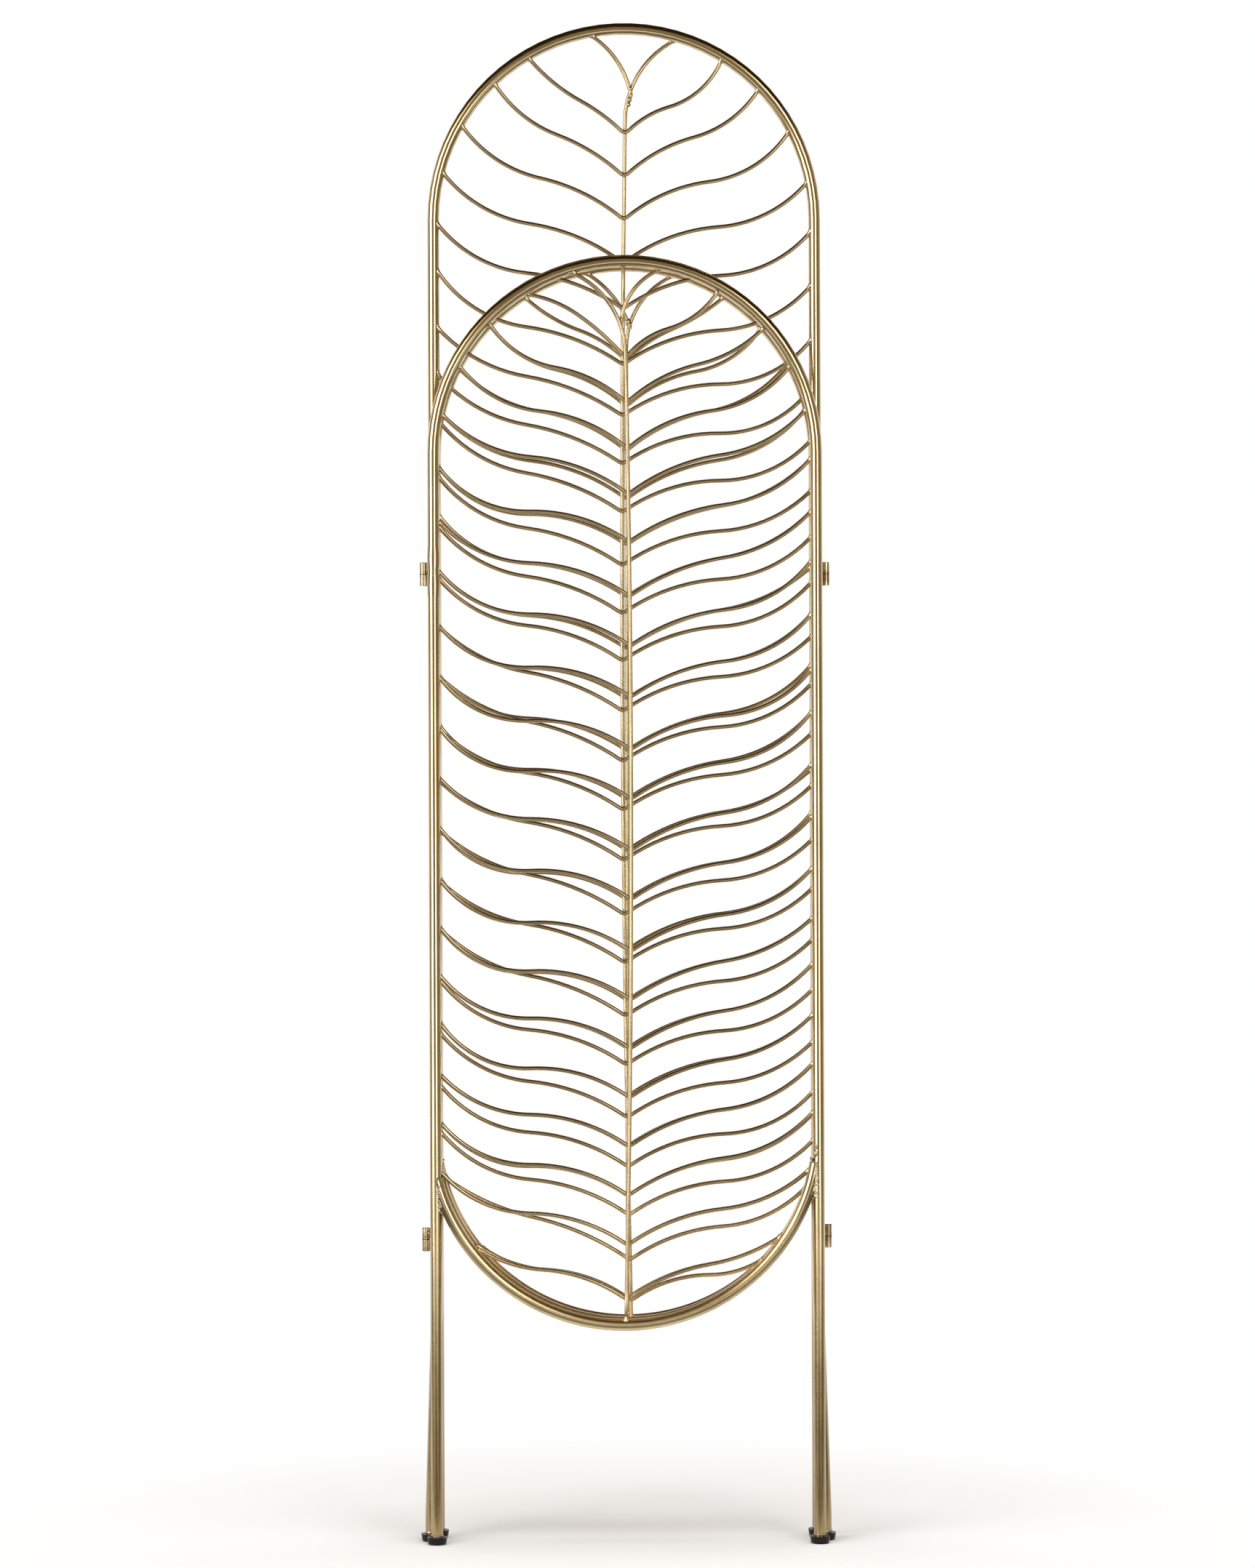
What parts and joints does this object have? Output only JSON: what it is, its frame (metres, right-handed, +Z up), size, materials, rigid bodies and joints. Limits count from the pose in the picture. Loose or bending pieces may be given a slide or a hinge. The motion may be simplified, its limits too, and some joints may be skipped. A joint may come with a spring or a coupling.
{
  "type": "folding room divider",
  "caption": "Folding room divider of arched metal-tube panels with leaf-vein wire ribs, hinged in a zigzag and shown folded flat on black levelling glides.",
  "frame": {"origin": "on the floor, under the middle of the folded screen", "axes": "+X to the right, +Y from the front panel to the back one, +Z up"},
  "size_m": [0.492, 0.074, 1.7998],
  "materials": {
    "gold_tube": "satin antique gold paint",
    "gold_wire": "satin antique gold paint",
    "gold_hinge": "satin antique gold paint over steel",
    "pin_steel": "turned",
    "insert_steel": "plated",
    "stud_steel": "zinc plated",
    "glide_plastic": "moulded, slightly glossy"
  },
  "bodies": {
    "middle_panel": {"middle_frame_tube": "gold_tube", "middle_bottom_arc": "gold_tube", "middle_stem": "gold_wire", "middle_crown_branch": "gold_wire", "middle_ribs_upper": "gold_wire", "middle_ribs_middle": "gold_wire", "middle_ribs_lower": "gold_wire", "middle_insert_left": "insert_steel", "middle_insert_right": "insert_steel", "left_upper_knuckle_middle": "gold_hinge", "left_lower_knuckle_middle": "gold_hinge", "right_upper_knuckle_middle": "gold_hinge", "right_lower_knuckle_middle": "gold_hinge"},
    "front_panel": {"front_frame_tube": "gold_tube", "front_bottom_arc": "gold_tube", "front_stem": "gold_wire", "front_crown_branch": "gold_wire", "front_ribs_upper": "gold_wire", "front_ribs_middle": "gold_wire", "front_ribs_lower": "gold_wire", "front_insert_left": "insert_steel", "front_insert_right": "insert_steel", "left_upper_knuckle_front": "gold_hinge", "left_upper_pin": "pin_steel", "left_upper_washer": "pin_steel", "left_lower_knuckle_front": "gold_hinge", "left_lower_pin": "pin_steel", "left_lower_washer": "pin_steel"},
    "back_panel": {"back_frame_tube": "gold_tube", "back_bottom_arc": "gold_tube", "back_stem": "gold_wire", "back_crown_branch": "gold_wire", "back_ribs_upper": "gold_wire", "back_ribs_middle": "gold_wire", "back_ribs_lower": "gold_wire", "back_insert_left": "insert_steel", "back_insert_right": "insert_steel", "right_upper_knuckle_back": "gold_hinge", "right_upper_pin": "pin_steel", "right_upper_washer": "pin_steel", "right_lower_knuckle_back": "gold_hinge", "right_lower_pin": "pin_steel", "right_lower_washer": "pin_steel"},
    "front_foot_left": {"front_glide_left": "glide_plastic", "front_stud_left": "stud_steel"},
    "front_foot_right": {"front_glide_right": "glide_plastic", "front_stud_right": "stud_steel"},
    "middle_foot_left": {"middle_glide_left": "glide_plastic", "middle_stud_left": "stud_steel"},
    "middle_foot_right": {"middle_glide_right": "glide_plastic", "middle_stud_right": "stud_steel"},
    "back_foot_left": {"back_glide_left": "glide_plastic", "back_stud_left": "stud_steel"},
    "back_foot_right": {"back_glide_right": "glide_plastic", "back_stud_right": "stud_steel"}
  },
  "joints": [
    {"name": "front_fold", "type": "hinge", "parent": "middle_panel", "child": "front_panel", "pos_m": [-0.2385, -0.0125, 0.3585], "axis": [0, 0, -1], "range_deg": [0, 140]},
    {"name": "back_fold", "type": "hinge", "parent": "middle_panel", "child": "back_panel", "pos_m": [0.2385, 0.0125, 0.3585], "axis": [0, 0, -1], "range_deg": [0, 140]},
    {"name": "front_foot_left_turn", "type": "hinge", "parent": "front_panel", "child": "front_foot_left", "pos_m": [-0.226, -0.025, 0.0086], "axis": [0, 0, 1], "continuous": true},
    {"name": "front_foot_right_turn", "type": "hinge", "parent": "front_panel", "child": "front_foot_right", "pos_m": [0.226, -0.025, 0.0086], "axis": [0, 0, 1], "continuous": true},
    {"name": "middle_foot_left_turn", "type": "hinge", "parent": "middle_panel", "child": "middle_foot_left", "pos_m": [-0.234, 0, 0.0086], "axis": [0, 0, 1], "continuous": true},
    {"name": "middle_foot_right_turn", "type": "hinge", "parent": "middle_panel", "child": "middle_foot_right", "pos_m": [0.234, 0, 0.0086], "axis": [0, 0, 1], "continuous": true},
    {"name": "back_foot_left_turn", "type": "hinge", "parent": "back_panel", "child": "back_foot_left", "pos_m": [-0.226, 0.025, 0.0086], "axis": [0, 0, 1], "continuous": true},
    {"name": "back_foot_right_turn", "type": "hinge", "parent": "back_panel", "child": "back_foot_right", "pos_m": [0.226, 0.025, 0.0086], "axis": [0, 0, 1], "continuous": true}
  ]
}
